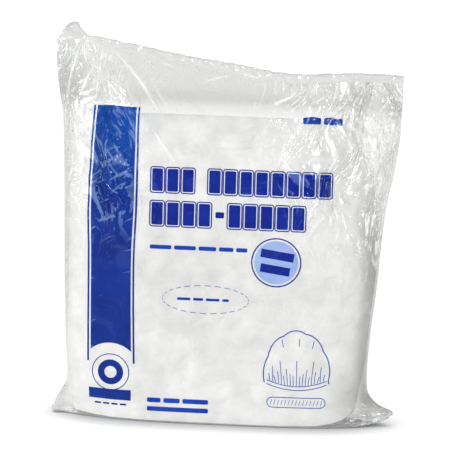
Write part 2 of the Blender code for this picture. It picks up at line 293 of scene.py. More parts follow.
def film_width(level, share):
    """Half the width of the film on the side of a share."""
    return HALF_WIDTH * np.where(share > 0, curve(SECTIONS, RIGHT, level), curve(SECTIONS, LEFT, level))


def film_point(level, share, side, folds):
    """Places on a smooth web: side is -1 for the front and 1 for the back."""
    x = share * film_width(level, share)
    near_floor = np.clip(1 - level / EAR_REACH_SHARE, 0, None)
    low = FLOOR_LIFT + ear_lift(x) * near_floor**2 + (PACK_HEIGHT - FLOOR_LIFT) * level
    high = PACK_HEIGHT + (seal_height(x) - PACK_HEIGHT) * (level - 1)
    z = np.where(level <= 1, low, high)
    depth = film_depth(level, share)
    onset = np.clip(depth / (HALF_DEPTH * FOLD_ONSET_SHARE), 0, 1)
    depth = depth + fold_relief(folds, x, z) * onset
    return np.stack([x, side * depth + seal_sway(x) * eased(level - 1), z], axis=-1)


def even_levels(rows):
    """Levels of the film's rows from the bottom to the seal, closer in the upper part."""
    dense = np.linspace(0, 2, MEASURED_LEVELS)
    line = film_point(dense, np.zeros_like(dense), -1, ())
    steps = np.linalg.norm(np.diff(line, axis=0), axis=1) * np.where(line[1:, 2] > FINE_ABOVE, 2, 1)
    run = np.concatenate([[0], np.cumsum(steps)])
    return np.interp(np.linspace(0, run[-1], rows), run, dense)


def grid_normals(points, side):
    """Directions straight out of a web."""
    across = np.gradient(points, axis=1)
    up = np.gradient(points, axis=0)
    normal = np.cross(across, up)
    normal /= np.maximum(np.linalg.norm(normal, axis=-1, keepdims=True), 1e-12)
    return normal if side < 0 else -normal


def rough_field(wavelength, seed):
    """Smooth random heights over the field, of about one wavelength and with a spread of 1."""
    noise = np.random.default_rng(seed).standard_normal((len(FIELD_Z), len(FIELD_X)))
    frequency_z = np.fft.fftfreq(len(FIELD_Z), FIELD_PITCH)[:, None]
    frequency_x = np.fft.rfftfreq(len(FIELD_X), FIELD_PITCH)[None, :]
    off = (np.hypot(frequency_x, frequency_z) * wavelength - 1) / NOISE_BAND
    field = np.fft.irfft2(np.fft.rfft2(noise) * bell(off), s=noise.shape)
    return field / field.std()


def between(grid, row, column):
    """A grid read at rows and columns that may lie between its own."""
    low = np.clip(row.astype(int), 0, grid.shape[0] - 2)
    left = np.clip(column.astype(int), 0, grid.shape[1] - 2)
    part_z, part_x = row - low, column - left
    if grid.ndim == 3:
        part_z, part_x = part_z[..., None], part_x[..., None]
    lower = grid[low, left] * (1 - part_x) + grid[low, left + 1] * part_x
    upper = grid[low + 1, left] * (1 - part_x) + grid[low + 1, left + 1] * part_x
    return lower * (1 - part_z) + upper * part_z


def sample(field, x, z):
    """A field read at places in metres."""
    column = np.clip((x - FIELD_X[0]) / FIELD_PITCH, 0, len(FIELD_X) - 1.001)
    row = np.clip((z - FIELD_Z[0]) / FIELD_PITCH, 0, len(FIELD_Z) - 1.001)
    return between(field, row, column)


def comb_directions(x, z, seed):
    """Unit directions of the crinkles: upright, bent towards each pull, and wandering a little."""
    double_x = np.full_like(x, -UPRIGHT_WEIGHT)
    double_z = np.zeros_like(x)
    for pull_x, pull_z, reach, weight in PULLS:
        away_x, away_z = x - pull_x * HALF_WIDTH, z - pull_z * SEAL_HEIGHT
        angle = 2 * np.arctan2(away_z, away_x)
        nearness = weight * bell(np.hypot(away_x, away_z) / reach)
        double_x += nearness * np.cos(angle)
        double_z += nearness * np.sin(angle)
    angle = np.arctan2(double_z, double_x) / 2 + WANDER * rough_field(WANDER_SIZE, seed)
    upward = np.where(np.sin(angle) < 0, -1.0, 1.0)
    return upward * np.cos(angle), upward * np.sin(angle)


def walk(flow_x, flow_z, way, steps):
    """The places reached step by step along the crinkles, up or down, from every place of the field."""
    x, z = np.meshgrid(FIELD_X, FIELD_Z)
    last_x, last_z = way * flow_x, way * flow_z
    for _ in range(steps):
        here_x, here_z = sample(flow_x, x, z), sample(flow_z, x, z)
        turn = np.where(here_x * last_x + here_z * last_z < 0, -1.0, 1.0)
        size = np.maximum(np.hypot(here_x, here_z), 1e-6)
        last_x, last_z = turn * here_x / size, turn * here_z / size
        x = x + last_x * STRIDE
        z = z + last_z * STRIDE
        yield x, z


def combed(fields, flow, reach):
    """The fields smeared along the crinkles, over reach metres each way, with a spread of 1."""
    sums = [field.copy() for field in fields]
    steps = int(reach / STRIDE)
    for way in (1, -1):
        for step, (x, z) in enumerate(walk(*flow, way, steps), start=1):
            weight = 0.5 + 0.5 * math.cos(math.pi * step / (steps + 1))
            for total, field in zip(sums, fields):
                total += weight * sample(field, x, z)
    return [total / total.std() for total in sums]


def ridged(field, width):
    """Thin raised lines where a field crosses zero, on average 0."""
    lines = bell(field / width)
    return lines - lines.mean()


def streaked(fields, flow, reach, soft, sharp, width):
    """Soft waves and sharp raised lines along the crinkles."""
    waves, lines = combed(fields, flow, reach)
    return soft * waves + sharp * ridged(lines, width)


def gathered(table, start, x, z):
    """What a table of places and their reaches in mm adds up to at x and z, on top of a start."""
    sums = [np.full_like(x, value) for value in start]
    for place_x, place_z, reach_x, reach_z, *amounts in table:
        off_x = (x - place_x * HALF_WIDTH) * 1000 / reach_x
        off_z = (z - place_z * SEAL_HEIGHT) * 1000 / reach_z
        nearness = np.exp(-(off_x**2) - off_z**2)
        for total, amount in zip(sums, amounts):
            total += amount * nearness
    return sums


def crinkle_field(table, seed):
    """A web's crinkles in metres, how fine-crinkled it is from 0 to 1, and a measure across its streaks."""
    x, z = np.meshgrid(FIELD_X, FIELD_Z)
    flow = comb_directions(x, z, seed)
    rough = [rough_field(size, seed + number) for number, size in enumerate(CRINKLE_SIZES)]
    wide, close = (np.abs(noise) - USUAL_SIZE for noise in rough[4:])
    streak, fine, crumple = (millimetres / 1000 for millimetres in gathered(table, CALM_CRUMPLE, x, z))
    height = streak * streaked(rough[:2], flow, *LONG_STREAKS)
    height += fine * streaked(rough[2:4], flow, *FINE_STREAKS)
    height += crumple * (WIDE_CRUMPLE * wide + CLOSE_CRUMPLE * close)
    strength = np.clip((fine + 0.6 * crumple + 0.15 * streak) / FULL_CRINKLE, 0, 1)
    for across, _ in walk(*flow, -1, int(COMB_REACH / STRIDE)):
        pass
    return height, strength, across


class Web:
    """A crinkled web of film: its points, and how to lay print on it."""

    def __init__(self, side, folds, crumples, seed):
        self.levels = even_levels(FILM_ROWS)
        self.shares = crowded(FILM_COLUMNS)
        level, share = np.meshgrid(self.levels, self.shares, indexing="ij")
        smooth = film_point(level, share, side, folds)
        self.normals = grid_normals(smooth, side)
        height, strength, across = crinkle_field(crumples, seed)
        x, z = smooth[..., 0], smooth[..., 2]
        relief = sample(height, x, z)
        for inside, rise in ((1 - np.abs(share), CREASE_RISE), (2 - level, SEAL_RISE), (level, FLOOR_RISE)):
            relief = relief * eased(inside / rise)
        self.points = smooth + self.normals * relief[..., None]
        self.points[..., 2] = np.maximum(self.points[..., 2], FLOOR_LIFT)
        self.strength = sample(strength, x, z)[..., None]
        round_side = smooth[..., 1] * eased((np.abs(share) - 0.85) / 0.15)
        self.comb = np.stack([sample(across, x, z), round_side, z], axis=-1)

    def place(self, x, z, lift):
        """Points on the web at x and z, lifted off it, with its strength and comb there."""
        level = np.where(
            z <= PACK_HEIGHT,
            (z - FLOOR_LIFT) / (PACK_HEIGHT - FLOOR_LIFT),
            1 + (z - PACK_HEIGHT) / (seal_height(x) - PACK_HEIGHT),
        )
        share = x / film_width(level, x)
        row = np.interp(level, self.levels, np.arange(FILM_ROWS))
        column = np.interp(share, self.shares, np.arange(FILM_COLUMNS))
        grids = (self.points, self.normals, self.strength, self.comb)
        points, normals, strength, comb = (between(grid, row, column) for grid in grids)
        return points + normals * lift, strength, comb


def place_in_scene(name, data):
    made = bpy.data.objects.new(name, data)
    bpy.context.scene.collection.objects.link(made)
    return made


def make_mesh(name, points, faces, material, values=None, comb=None):
    """An object from arrays of points and quads, smooth, with named numbers at its points."""
    mesh = bpy.data.meshes.new(name)
    points = np.asarray(points, np.float32).reshape(-1, 3)
    faces = np.asarray(faces, np.int32).reshape(-1, 4)
    mesh.vertices.add(len(points))
    mesh.vertices.foreach_set("co", points.ravel())
    mesh.loops.add(faces.size)
    mesh.loops.foreach_set("vertex_index", faces.ravel())
    mesh.polygons.add(len(faces))
    mesh.polygons.foreach_set("loop_start", np.arange(0, faces.size, 4, dtype=np.int32))
    mesh.update(calc_edges=True)
    mesh.validate()
    mesh.shade_smooth()
    for key, value in (values or {}).items():
        everywhere = np.zeros(len(points), np.float32) + np.asarray(value, np.float32).ravel()
        mesh.attributes.new(key, "FLOAT", "POINT").data.foreach_set("value", everywhere)
    comb = np.asarray(points if comb is None else comb, np.float32).ravel()
    mesh.attributes.new("comb", "FLOAT_VECTOR", "POINT").data.foreach_set("vector", comb)
    mesh.materials.append(material)
    return place_in_scene(name, mesh)


def grid_faces(index, flip=False):
    """Quads over a grid of point numbers."""
    corners = (index[:-1, :-1], index[:-1, 1:], index[1:, 1:], index[1:, :-1])
    faces = np.stack(corners, axis=-1).reshape(-1, 4)
    return faces[:, ::-1] if flip else faces


def make_sheet(name, points, material, values, comb=None, flip=False):
    """An object from one grid of points."""
    rows, columns = points.shape[:2]
    faces = grid_faces(np.arange(rows * columns).reshape(rows, columns), flip)
    return make_mesh(name, points, faces, material, values, comb)


# The caps: leaves of folded nonwoven, three to a bundle
BUNDLES = 8
LEAVES_PER_BUNDLE = 3
LEAF_CELLS = 42
FACE_CELLS = 110  # of the leaves at the very front and back, whose faces show
THINNEST_HALF_STACK = 0.0040
LEAST_DEPTH = 0.0060  # of the film at the side of the caps
SIDE_BULGE = 0.004  # of the caps' soft edges past their solids
THINNEST_SHARE = 0.95
CORNER_PULL_SHARE = 0.16
LEFT_FOOT_PULL_SHARE = 0.05  # the same at the lower left, where the caps are squarer
TOP_THINNING_SHARE = 0.35
FOOT_THINNING_SHARE = 0.02
SIDE_THINNING_SHARE = 0.22
CORNER_SHARPNESS = 6
CORNER_PULL_SHARPNESS = 9
CAPS_FOOT = 0.0010  # of the caps over the floor
SLUMP_PULL_SHARE = 0.33
SLUMP_SHARPNESS = 2.6
FILM_NEARNESS = 0.0009  # from the film to the faces of the caps
LEAF_ROUNDING = 7  # higher for flatter leaves with a tighter edge
EDGE_WANDER_SHARE = 0.012  # of the width, by which a leaf's edge strays
TOP_WANDER_SHARE = 0.022  # the same along the top
SLUMP_SPREAD = 0.30  # how far the leaves' slumped corners differ
BACK_DROP = 0.008  # of the tops of the leaves from the front to the back
LEAF_EDGE_SHARE = 0.40  # of a leaf's thickness that its edge keeps
LEAF_SEED = 400
EDGE_WAVE = 0.0005  # of a leaf's edge to the front and back
STRAY_TURNS, WAVE_TURNS = (2, 3, 5, 8, 13), (17, 29, 41)  # waves round a leaf's outline and its edge
SOFT_FOLD = 0.0008  # height of the soft folds on the faces of the caps
SOFT_FOLD_LIMIT = 0.4  # of that height, towards the film


def stack_half_width(level, side):
    """How far the caps reach to a side at a level, inside the film."""
    depth = HALF_DEPTH * curve(SECTIONS, DEPTH, level)
    thin = np.clip(LEAST_DEPTH / depth, 0, THINNEST_SHARE)
    fullness = (1 - thin ** curve(SECTIONS, ROUNDNESS, level)) ** (1 / curve(SECTIONS, SQUARENESS, level))
    return np.minimum(STACK_HALF_WIDTH + SIDE_BULGE, film_width(level, side) * fullness - PACK_CLEARANCE)


def stack_place(across, up, slack):
    """X, Z and half the stack's depth at places from -1 to 1 each way, with slack in its slumped corner."""
    slump = 1 - (SLUMP_PULL_SHARE + slack) * np.clip(up, 0, 1) ** SLUMP_SHARPNESS
    pulled = np.where((across < 0) & (up < 0), LEFT_FOOT_PULL_SHARE, CORNER_PULL_SHARE)
    corner = 1 - pulled * np.abs(up) ** CORNER_PULL_SHARPNESS
    width = np.where((across > 0) & (up > 0), slump, corner)
    low, top = CAPS_FOOT, PACK_HEIGHT - PACK_CLEARANCE
    middle = (low + top) / 2
    droop = 1 - pulled * np.abs(across) ** CORNER_PULL_SHARPNESS / 2
    z = middle + (top - middle) * up * droop
    level = (z - FLOOR_PLY - GAP) / (PACK_HEIGHT - FLOOR_PLY - GAP)
    x = across * stack_half_width(level, across) * width
    at_end = np.where(up > 0, TOP_THINNING_SHARE, FOOT_THINNING_SHARE) * np.abs(up) ** CORNER_SHARPNESS
    thinning = 1 - np.maximum(SIDE_THINNING_SHARE * np.abs(across) ** CORNER_SHARPNESS, at_end)
    inside = film_depth(level, np.abs(x) / film_width(level, x)) - FILM_NEARNESS
    return x, z, np.maximum(THINNEST_HALF_STACK, inside * thinning)


def make_leaf(number, total, cells, soft_folds):
    """Points and faces of one folded layer of caps, a thin pillow. Number 0 is at the front."""
    rng = np.random.default_rng(LEAF_SEED + number)
    crowd = np.sin(math.pi / 2 * np.linspace(-1, 1, cells))
    up, across = np.meshgrid(crowd, crowd, indexing="ij")
    outward = np.maximum(np.abs(across), np.abs(up))
    around = np.arctan2(up, across)
    stray = np.full_like(across, rng.uniform(-1, 1))
    wave = np.zeros_like(across)
    for turns in STRAY_TURNS:
        stray += rng.uniform(0.3, 1.0) * np.sin(turns * around + rng.uniform(0, 2 * math.pi)) / turns**0.5
    for turns in WAVE_TURNS:
        wave += np.sin(turns * around + rng.uniform(0, 2 * math.pi)) / len(WAVE_TURNS)
    inner = min(number, 2) / 2  # 0 for the leaf at the front, which fills its outline
    x, z, depth = stack_place(across, up, SLUMP_SPREAD * (inner * rng.uniform(0.2, 1) - 0.5))
    short = inner * np.clip(0.6 + stray, 0, None)
    x *= 1 - EDGE_WANDER_SHARE * short * outward**2
    z -= (z - PACK_HEIGHT / 2) * TOP_WANDER_SHARE / 2 * short * np.clip(up, 0, 1) ** 2
    z -= BACK_DROP * (number / total) ** 0.6 * np.clip(up, 0, 1)
    front, back = 2 * number / total - 1, 2 * (number + 1) / total - 1
    thickness = np.clip(1 - outward**LEAF_ROUNDING, 0, 1) ** 0.5
    middle = depth * (front + back) / 2 + EDGE_WAVE * wave * outward**LEAF_ROUNDING
    thickness = LEAF_EDGE_SHARE + (1 - LEAF_EDGE_SHARE) * thickness
    half = depth * (back - front) / 2 * thickness * np.where(outward < 1, 1, 0)
    swell = sample(soft_folds, x, z) * SOFT_FOLD * (1 - outward**8)
    swell = np.minimum(swell, SOFT_FOLD_LIMIT * SOFT_FOLD)
    near = np.stack([x, middle - half - (front <= -1) * swell, z], axis=-1)
    far = np.stack([x, middle + half + (back >= 1) * swell, z], axis=-1)
    index_near = np.arange(cells * cells).reshape(cells, cells)
    index_far = index_near.copy()
    index_far[1:-1, 1:-1] = cells * cells + np.arange((cells - 2) ** 2).reshape(cells - 2, cells - 2)
    points = np.concatenate([near.reshape(-1, 3), far[1:-1, 1:-1].reshape(-1, 3)])
    return points, np.concatenate([grid_faces(index_near), grid_faces(index_far, flip=True)])


def make_bundle(number, material, soft_folds):
    """One bundle of caps, number 1 at the front, that stands for the solid of the same number."""
    total = BUNDLES * LEAVES_PER_BUNDLE
    points, faces, count = [], [], 0
    for leaf in range((number - 1) * LEAVES_PER_BUNDLE, number * LEAVES_PER_BUNDLE):
        cells = FACE_CELLS if leaf in (0, total - 1) else LEAF_CELLS
        leaf_points, leaf_faces = make_leaf(leaf, total, cells, soft_folds)
        points.append(leaf_points)
        faces.append(leaf_faces + count)
        count += len(leaf_points)
    bundle = make_mesh(f"caps_{number}", np.concatenate(points), np.concatenate(faces), material)
    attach(bundle, "root")
    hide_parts(f"cap_bundle_{number}")


# Where the film lies double or is tucked, and where shade and highlights are painted on it: x and z of a
# place as shares, its two reaches in mm, and how much denser and milkier than a single ply it looks, from
# real plies and haze and from painted shade and highlights
HEADSPACE_DENSITY = 1.00  # of the back web where no caps lie in front of it
TOP_FADE, SIDE_FADE = (0.004, 0.010), (0.003, 0.012)  # where that starts inside the caps' edge, and over what
CAPS_TOP_SHADE = 0.75  # painted shade: how much the front web is greyed in front of the top of the caps, where they are lit brightest
CAPS_TOP_RISE = 0.010  # from the film's height there to the middle of that dense strip
CAPS_TOP_REACH = 0.008  # from its middle up and down
PLY_SHADE_AND_HIGHLIGHT_PLACES = (
    # right ear: folded plies, darkened further by painted shade
    (0.91, 0.07, 24, 19, 1.5, 0.0),
    # painted shade down the right side, which is turned away from the light, over its tucked plies
    (0.875, 0.43, 7, 54, 1.75, 0.0),
    (0.84, 0.17, 7, 36, 1.7, 0.0),
    # painted highlight: the top right corner whitened where its crinkles catch the light
    (0.8, 0.8, 36, 42, 0.02, 0.32),
    (0.88, 0.58, 8, 16, 0.0, 0.32),
    # painted shade: the middle of the caps' face greyed
    (-0.1, 0.4, 75, 52, 0.26, 0.0),
    (-0.96, 0.9, 14, 34, 0.75, 0.0),
    (-0.94, 0.45, 8, 120, 0.8, 0.06),
    (-0.92, 0.04, 24, 14, 0.25, 0.08),
    (0.2, 0.99, 160, 5, 0.1, 0.0),
    (0.3, 0.73, 70, 22, -0.25, 0.0),
)


def beyond_caps(x, z):
    """1 where a place lies above or beside the caps, 0 in front of or behind them."""
    level = np.clip(z / PACK_HEIGHT, 0, 1)
    above = eased((z - PACK_HEIGHT + TOP_FADE[0]) / TOP_FADE[1])
    beside = eased((np.abs(x) - stack_half_width(level, x) + SIDE_FADE[0]) / SIDE_FADE[1])
    return np.maximum(above, beside)


def make_web(name, web, node, side, material):
    """A web of the bag as a sheet that stands for its solid."""
    x, z = web.points[..., 0], web.points[..., 2]
    # greyer where the film lies double and where shade is painted, whiter where it is hazy and where
    # highlights are painted
    plies_and_shade, milk_and_highlight = gathered(PLY_SHADE_AND_HIGHLIGHT_PLACES, (0, 0), x, z)
    if side > 0:
        plies_and_shade += HEADSPACE_DENSITY * beyond_caps(x, z)
    else:
        # painted shade over the brightly lit top of the caps
        plies_and_shade += CAPS_TOP_SHADE * bell((z - PACK_HEIGHT - CAPS_TOP_RISE) / CAPS_TOP_REACH)
        # painted highlight: white lines along the sharp folds
        milk_and_highlight += fold_relief(HIGHLIGHT_FOLDS, x, z) / FOLD_HEIGHT
    values = {"crinkle": web.strength, "plies_and_shade": plies_and_shade, "milk_and_highlight": milk_and_highlight}
    made = make_sheet(name, web.points, material, values, web.comb, flip=side > 0)
    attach(made, "root")
    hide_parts(node)


SEAL_COLUMNS = 420
SEAL_ROWS = 11
CRIMP_PITCH = 0.0016  # of the ribs that the sealing bar leaves
CRIMP_HEIGHT = 0.00012
CRIMP_RISE = 0.12  # of the crimped line, as a share of the band's height, and its reach
WELD_RISE, WELD_REACH = 0.10, 0.07  # the same of the whitened line
FLANGE_WAVE, SMALL_WAVE_SHARE = 0.0012, 0.35
EAR_EDGE, EAR_FADE = -0.80, 0.06  # where the ear ends, and over what, as shares
WELD_DENSITY, EAR_DENSITY, RIM_DENSITY = 0.68, 0.10, 0.60  # of the seal, and more at its ear and its rim
WELD_MILK, LINE_MILK, EAR_MILK = 0.04, 0.05, 0.50  # of the seal, and more on its line, there and at the ear


def make_top_seal(material):
    """The welded band over the two webs, with its crimped line, loose flange and standing corner."""
    share = np.linspace(-1, 1, SEAL_COLUMNS)
    rise, across = np.meshgrid(np.linspace(0, 1, SEAL_ROWS), share, indexing="ij")
    x = across * HALF_WIDTH
    z = seal_height(x) + rise * FLANGE * curve(TOP_EDGE, RISE, across)
    crimp = CRIMP_HEIGHT * np.sin(2 * math.pi * x / CRIMP_PITCH) * bell((rise - CRIMP_RISE) / CRIMP_RISE)
    waves = rough_field(0.011, seed=71)
    small = rough_field(0.004, seed=72)
    loose = rise * (sample(waves, x, z) + SMALL_WAVE_SHARE * sample(small, x, z)) * FLANGE_WAVE
    y = seal_sway(x) + crimp * eased(rise * 8) + loose * eased((1 - np.abs(across)) * 20)
    z = z - 0.0001 * rise * np.abs(sample(small, x, z))
    ear = eased((EAR_EDGE - across) / EAR_FADE)
    dashes = np.clip(0.6 + 0.5 * sample(small, 2 * x, 2 * z - 0.3), 0, 1)
    weld_line = bell((rise - WELD_RISE) / WELD_REACH) * (LINE_MILK + EAR_MILK * ear) * dashes
    plies_and_shade = WELD_DENSITY + EAR_DENSITY * ear + RIM_DENSITY * rise**8
    values = {"crinkle": 0.06 + 0.02 * ear, "plies_and_shade": plies_and_shade, "milk_and_highlight": WELD_MILK + weld_line}
    made = make_sheet("film_top_seal", np.stack([x, y, z], axis=-1), material, values)
    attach(made, "root")
    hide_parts("top_seal")
    return made


BOTTOM_ROWS = 26
FLAP_COLUMNS, FLAP_ROWS = 240, 7
LEAST_LIFT = 0.0004  # of the film under the caps
BOTTOM_BUMPS, FLAP_BUMPS = 0.0003, 0.0004
FLAP_WIDTH = 0.008
FLAP_LENGTH_SHARE = 0.985


def make_bottom(front, back, material):
    """The film under the caps, between the two webs, and the bottom seal's flap folded flat along it."""
    foot, heel = front.points[0], back.points[0]
    rise = np.linspace(0, 1, BOTTOM_ROWS)[:, None, None]
    points = heel * rise + foot * (1 - rise)
    height = rough_field(0.012, seed=81)
    off_edge = eased(np.minimum(rise, 1 - rise) * 8)[..., 0]
    points[..., 2] += BOTTOM_BUMPS * off_edge * sample(height, points[..., 0], points[..., 1] + 0.1)
    points[..., 2] = np.maximum(points[..., 2], LEAST_LIFT)
    values = {"crinkle": 0.3, "plies_and_shade": 0.1, "milk_and_highlight": 0.05}
    sheet = make_sheet("film_bottom", points, material, values, flip=True)
    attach(sheet, "root")
    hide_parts("bottom_fold")
    x = np.linspace(-1, 1, FLAP_COLUMNS) * HALF_WIDTH * FLAP_LENGTH_SHARE
    wide = np.linspace(0, 1, FLAP_ROWS)[:, None]
    y = -FLAP_WIDTH * wide + FLAP_BUMPS * sample(height, x, 0.2 + 0 * x)
    z = ear_lift(x) + 0.0001 + 0.0002 * (1 - wide)
    points_flap = np.stack(np.broadcast_arrays(x, y, z), axis=-1)
    values = {"crinkle": 0.6, "plies_and_shade": 0.5, "milk_and_highlight": 0.05}
    flap = make_sheet("film_bottom_flap", points_flap, material, values, flip=True)
    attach(flap, "root")


# Print on the front, in millimetres: x from the middle, z from the floor
PRINT_STEP = 0.9
PRINT_LIFT = 0.00016
LINE = 0.9
BAND_LEFT, BAND_RIGHT, BAND_TOP, BAND_FOOT = -109.0, -69.4, 260.0, 49.0
BAND_LEAN = (  # z, and how far the left and the right edge stray there
    (49.0, 0.8, 0.6),
    (100.0, 0.2, -0.8),
    (140.0, -0.3, -1.2),
    (176.0, -1.4, 0.0),
    (222.0, 0.0, 0.2),
    (262.0, 3.0, 0.8),
)
BAND_LINE, BAND_MARGIN = 1.6, 2.9
DISC_X, DISC_Z, DISC_RADIUS, ARCH_RADIUS = -88.6, 41.0, 15.5, 24.5
TITLE_LINES = (  # z of the middle, then the left and right of each group and its number of blocks
    (202.0, -59.0, -22.0, 3),
    (202.0, -13.0, 88.5, 8),
    (174.5, -59.0, -8.0, 4),
    (174.5, 3.5, 68.0, 5),
)
TITLE_HEIGHT = 21.0
BLOCK_GAP, BLOCK_RADIUS, BLOCK_LINE, BLOCK_INSET = 1.1, 1.8, 1.0, 1.25
WORD_GAP = 2.2
WORD_LINES = (  # x of the middle, z, whole width, height and number of words
    (-19.0, 147.0, 79.0, 3.4, 5),
    (-14.5, 105.0, 42.0, 2.2, 4),
    (-33.4, 19.5, 50.0, 4.0, 3),
    (-33.4, 12.0, 50.0, 4.0, 1),
    (78.0, 254.0, 32.0, 5.2, 2),
)
BADGE_X, BADGE_Z, BADGE_RADIUS = 44.0, 138.0, 20.3
OVAL_X, OVAL_Z, OVAL_WIDTH, OVAL_HEIGHT, OVAL_DASHES = -12.5, 105.0, 70.0, 23.0, 26
DASH_SHARE = 0.62  # of the oval that is drawn
SIGN_X, SIGN_Z, SIGN_WIDTH, SIGN_RISE = 62.8, 48.0, 53.0, 37.0


class Print:
    """Ink laid on a web as thin patches that follow its crinkles."""

    def __init__(self, web):
        self.web, self.parts, self.faces, self.count = web, [], [], 0

    def patch(self, x, z):
        """A grid of places in millimetres, inked."""
        parts = self.web.place(x / 1000, z / 1000, PRINT_LIFT)
        self.parts.append([part.reshape(x.size, -1) for part in parts])
        self.faces.append(grid_faces(np.arange(x.size).reshape(x.shape) + self.count))
        self.count += x.size

    def block(self, left, right, low, high, radius=0.0):
        """A rectangle with round corners."""
        columns = max(3, int((right - left) / PRINT_STEP) + 1)
        rows = max(3, int((high - low) / PRINT_STEP) + 1)
        across = np.linspace(-1, 1, columns)
        across = np.sin(math.pi / 2 * across) if radius else across
        x = (left + right) / 2 + (right - left) / 2 * across
        inset = np.clip(radius - np.minimum(x - left, right - x), 0, radius)
        half = (high - low) / 2 - (radius - np.sqrt(radius**2 - inset**2))
        up = np.linspace(-1, 1, rows)[:, None]
        self.patch(np.broadcast_to(x, (rows, columns)), (low + high) / 2 + up * half[None, :])

    def ring(self, x, z, inner, outer):
        """A disc, or a ring where inner is over 0."""
        turn = np.linspace(0, 2 * math.pi, max(24, int(2 * math.pi * outer / PRINT_STEP)) + 1)
        reach = np.linspace(outer, inner, max(2, int((outer - inner) / PRINT_STEP) + 1))[:, None]
        self.patch(x + reach * np.cos(turn)[None, :], z + reach * np.sin(turn)[None, :])

    def line(self, x, z, width):
        """A line through places."""
        run = np.concatenate([[0], np.cumsum(np.hypot(np.diff(x), np.diff(z)))])
        even = np.linspace(0, run[-1], max(2, int(run[-1] / PRINT_STEP) + 1))
        x, z = np.interp(even, run, x), np.interp(even, run, z)
        way_x, way_z = np.gradient(x), np.gradient(z)
        size = np.maximum(np.hypot(way_x, way_z), 1e-9)
        side = np.array([-0.5, 0.5])[:, None] * width
        self.patch(x + side * way_z / size, z - side * way_x / size)

    def outline(self, left, right, low, high, radius, width):
        """The outline of a rectangle with round corners."""
        x, z = [], []
        corners = ((right, high, 0), (left, high, 1), (left, low, 2), (right, low, 3))
        for corner_x, corner_z, quarter in corners:
            centre_x = corner_x - math.copysign(radius, corner_x - (left + right) / 2)
            centre_z = corner_z - math.copysign(radius, corner_z - (low + high) / 2)
            turn = np.linspace(quarter, quarter + 1, 6) * math.pi / 2
            x.extend(centre_x + radius * np.cos(turn))
            z.extend(centre_z + radius * np.sin(turn))
        self.line(x + x[:1], z + z[:1], width)

    def finish(self, name, material):
        points, strength, comb = (np.concatenate(part) for part in zip(*self.parts))
        made = make_mesh(name, points, np.concatenate(self.faces), material, {"crinkle": strength}, comb)
        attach(made, "root")
        return made


def print_band(web, ink):
    """The upright band with a line down each side, and the disc and box at its foot."""
    band = Print(web)
    middle = (BAND_LEFT + BAND_RIGHT) / 2
    up = np.linspace(0, 1, int((BAND_TOP - BAND_FOOT) / PRINT_STEP))[:, None]
    stripes = (
        (BAND_LEFT, BAND_LEFT + BAND_LINE, 3, False),
        (BAND_LEFT + BAND_MARGIN, BAND_RIGHT - BAND_MARGIN, 40, True),
        (BAND_RIGHT - BAND_LINE, BAND_RIGHT, 3, False),
    )
    for left, right, columns, arched in stripes:
        x = np.linspace(left, right, columns) + 0 * up
        foot = DISC_Z + np.sqrt(ARCH_RADIUS**2 - (x - middle) ** 2) if arched else BAND_FOOT
        z = foot + (BAND_TOP - foot) * up
        share = (x - BAND_LEFT) / (BAND_RIGHT - BAND_LEFT)
        band.patch(x + curve(BAND_LEAN, 1, z) * (1 - share) + curve(BAND_LEAN, 2, z) * share, z)
    band.ring(DISC_X, DISC_Z, DISC_RADIUS - 0.8, DISC_RADIUS)
    band.ring(DISC_X, DISC_Z, 5.0, 10.5)
    band.block(DISC_X - 18, DISC_X + 17, 17.6, 26.6)
    for place in (-10.5, -3.5, 3.5, 10.5):
        band.block(DISC_X + place - 2.6, DISC_X + place + 2.6, 13.0, 14.6)
    band.finish("print_band", ink)


def print_title(web, ink):
    """Rows of plain outlined blocks where the bag has its title."""
    title = Print(web)
    for middle, left, right, count in TITLE_LINES:
        pitch = (right - left) / count
        for number in range(count):
            low, high = middle - TITLE_HEIGHT / 2, middle + TITLE_HEIGHT / 2
            start, end = left + number * pitch, left + (number + 1) * pitch - BLOCK_GAP
            title.outline(start, end, low, high, BLOCK_RADIUS, BLOCK_LINE)
            inside = (start + BLOCK_INSET, end - BLOCK_INSET, low + BLOCK_INSET, high - BLOCK_INSET)
            title.block(*inside, 1.0)
    title.block(-6.0, 1.0, 172.5, 177.5, 0.8)
    title.finish("print_title", ink)


def print_small(web, ink):
    """Rows of short bars where the bag has small words, and the dashed oval."""
    small = Print(web)
    for middle, z, width, height, words in WORD_LINES:
        rng = np.random.default_rng(words)
        sizes = rng.uniform(0.6, 1.4, words)
        sizes *= (width - WORD_GAP * (words - 1)) / sizes.sum()
        left = middle - width / 2
        for size in sizes:
            small.block(left, left + size, z - height / 2, z + height / 2, height * 0.3)
            left += size + WORD_GAP
    for dash in range(OVAL_DASHES):
        turn = np.linspace(dash, dash + DASH_SHARE, 5) * 2 * math.pi / OVAL_DASHES
        x = OVAL_X + OVAL_WIDTH / 2 * np.cos(turn)
        small.line(x, OVAL_Z + OVAL_HEIGHT / 2 * np.sin(turn), 0.5)
    small.finish("print_small", ink)


def print_badge(web, ink, tint):
    """A round badge with two plain leaning bars."""
    fill = Print(web)
    fill.ring(BADGE_X, BADGE_Z, 0.0, BADGE_RADIUS - 2.6)
    fill.finish("print_badge_tint", tint)
    badge = Print(web)
    badge.ring(BADGE_X, BADGE_Z, BADGE_RADIUS - 1.1, BADGE_RADIUS)
    turn = math.radians(-8)
    for offset, half in ((6.0, 13.5), (-6.0, 12.0)):
        along = np.linspace(-half, half, 24)
        x = BADGE_X + along * math.cos(turn) - offset * math.sin(turn)
        z = BADGE_Z + along * math.sin(turn) + offset * math.cos(turn)
        badge.line(x, z, 7.0)
    made = badge.finish("print_badge", ink)
    made.data.transform(Matrix.Translation((0, -PRINT_LIFT, 0)))


